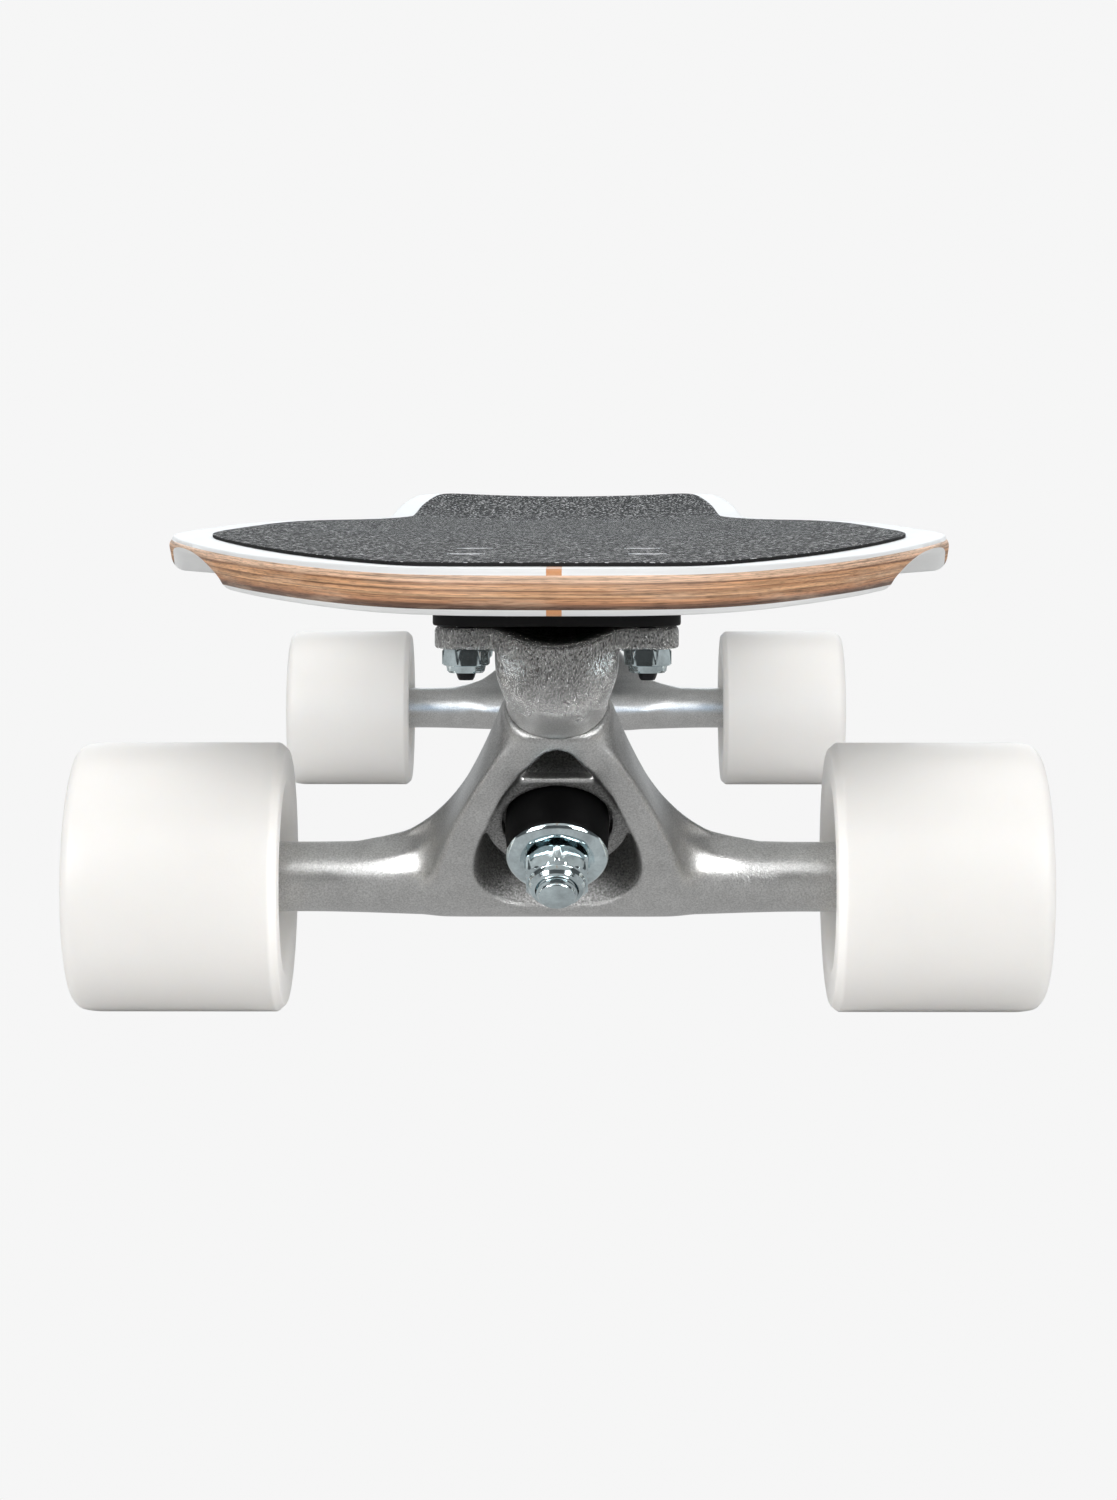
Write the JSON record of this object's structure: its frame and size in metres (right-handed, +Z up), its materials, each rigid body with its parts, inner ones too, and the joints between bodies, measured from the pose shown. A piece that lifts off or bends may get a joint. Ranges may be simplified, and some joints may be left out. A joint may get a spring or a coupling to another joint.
{
  "type": "skateboard",
  "caption": "Surf-style cruiser skateboard with a wooden deck, kicktail, grip tape, reverse-kingpin trucks on riser pads and wide soft wheels",
  "frame": {"origin": "middle of the bounding box's base: on the ground under the middle of the deck", "axes": "+Y runs from the nose to the tail along the deck, +Z up from the ground, +X across the deck along the axles"},
  "size_m": [0.233, 0.89, 0.1233],
  "materials": {
    "deck_paint": "gloss",
    "grip_grit": "matte",
    "riser_plastic": "matte",
    "cast_aluminium": "satin",
    "zinc_steel": "satin",
    "black_steel": "satin",
    "black_urethane": "satin",
    "wheel_urethane": "satin",
    "bearing_steel": "satin"
  },
  "bodies": {
    "board": {"deck": "deck_paint", "grip_tape": "grip_grit", "front_riser_pad": "riser_plastic", "front_baseplate": "cast_aluminium", "front_pivot_cup": "black_urethane", "front_kingpin": "zinc_steel", "front_kingpin_nut": "zinc_steel", "front_boardside_bushing": "black_urethane", "front_roadside_bushing": "black_urethane", "front_boardside_washer": "zinc_steel", "front_roadside_washer": "zinc_steel", "front_bolt_outer_left": "black_steel", "front_lock_nut_outer_left": "zinc_steel", "front_bolt_outer_right": "black_steel", "front_lock_nut_outer_right": "zinc_steel", "front_bolt_inner_left": "black_steel", "front_lock_nut_inner_left": "zinc_steel", "front_bolt_inner_right": "black_steel", "front_lock_nut_inner_right": "zinc_steel", "rear_riser_pad": "riser_plastic", "rear_baseplate": "cast_aluminium", "rear_pivot_cup": "black_urethane", "rear_kingpin": "zinc_steel", "rear_kingpin_nut": "zinc_steel", "rear_boardside_bushing": "black_urethane", "rear_roadside_bushing": "black_urethane", "rear_boardside_washer": "zinc_steel", "rear_roadside_washer": "zinc_steel", "rear_bolt_outer_left": "black_steel", "rear_lock_nut_outer_left": "zinc_steel", "rear_bolt_outer_right": "black_steel", "rear_lock_nut_outer_right": "zinc_steel", "rear_bolt_inner_left": "black_steel", "rear_lock_nut_inner_left": "zinc_steel", "rear_bolt_inner_right": "black_steel", "rear_lock_nut_inner_right": "zinc_steel"},
    "front_hanger_body": {"front_hanger": "cast_aluminium", "front_axle": "zinc_steel", "front_left_bearing_spacer": "zinc_steel", "front_left_axle_nut": "zinc_steel", "front_right_bearing_spacer": "zinc_steel", "front_right_axle_nut": "zinc_steel"},
    "front_left_wheel_body": {"front_left_wheel": "wheel_urethane", "front_left_inner_bearing": "bearing_steel", "front_left_outer_bearing": "bearing_steel"},
    "front_right_wheel_body": {"front_right_wheel": "wheel_urethane", "front_right_inner_bearing": "bearing_steel", "front_right_outer_bearing": "bearing_steel"},
    "rear_hanger_body": {"rear_hanger": "cast_aluminium", "rear_axle": "zinc_steel", "rear_left_bearing_spacer": "zinc_steel", "rear_left_axle_nut": "zinc_steel", "rear_right_bearing_spacer": "zinc_steel", "rear_right_axle_nut": "zinc_steel"},
    "rear_left_wheel_body": {"rear_left_wheel": "wheel_urethane", "rear_left_inner_bearing": "bearing_steel", "rear_left_outer_bearing": "bearing_steel"},
    "rear_right_wheel_body": {"rear_right_wheel": "wheel_urethane", "rear_right_inner_bearing": "bearing_steel", "rear_right_outer_bearing": "bearing_steel"}
  },
  "joints": [
    {"name": "front_steer", "type": "hinge", "parent": "board", "child": "front_hanger_body", "pos_m": [0, -0.302, 0.0324], "axis": [0, -0.682, 0.7314], "range_deg": [-18, 18], "stiffness_Nm_per_rad": 12, "deforming": ["front_boardside_bushing", "front_roadside_bushing"]},
    {"name": "front_left_wheel_roll", "type": "hinge", "parent": "front_hanger_body", "child": "front_left_wheel_body", "pos_m": [0.091, -0.302, 0.0324], "axis": [1, 0, 0], "continuous": true},
    {"name": "front_right_wheel_roll", "type": "hinge", "parent": "front_hanger_body", "child": "front_right_wheel_body", "pos_m": [-0.091, -0.302, 0.0324], "axis": [1, 0, 0], "continuous": true},
    {"name": "rear_steer", "type": "hinge", "parent": "board", "child": "rear_hanger_body", "pos_m": [0, 0.29, 0.0324], "axis": [0, 0.682, 0.7314], "range_deg": [-18, 18], "stiffness_Nm_per_rad": 12, "deforming": ["rear_boardside_bushing", "rear_roadside_bushing"]},
    {"name": "rear_left_wheel_roll", "type": "hinge", "parent": "rear_hanger_body", "child": "rear_left_wheel_body", "pos_m": [0.091, 0.29, 0.0324], "axis": [1, 0, 0], "continuous": true},
    {"name": "rear_right_wheel_roll", "type": "hinge", "parent": "rear_hanger_body", "child": "rear_right_wheel_body", "pos_m": [-0.091, 0.29, 0.0324], "axis": [1, 0, 0], "continuous": true}
  ]
}
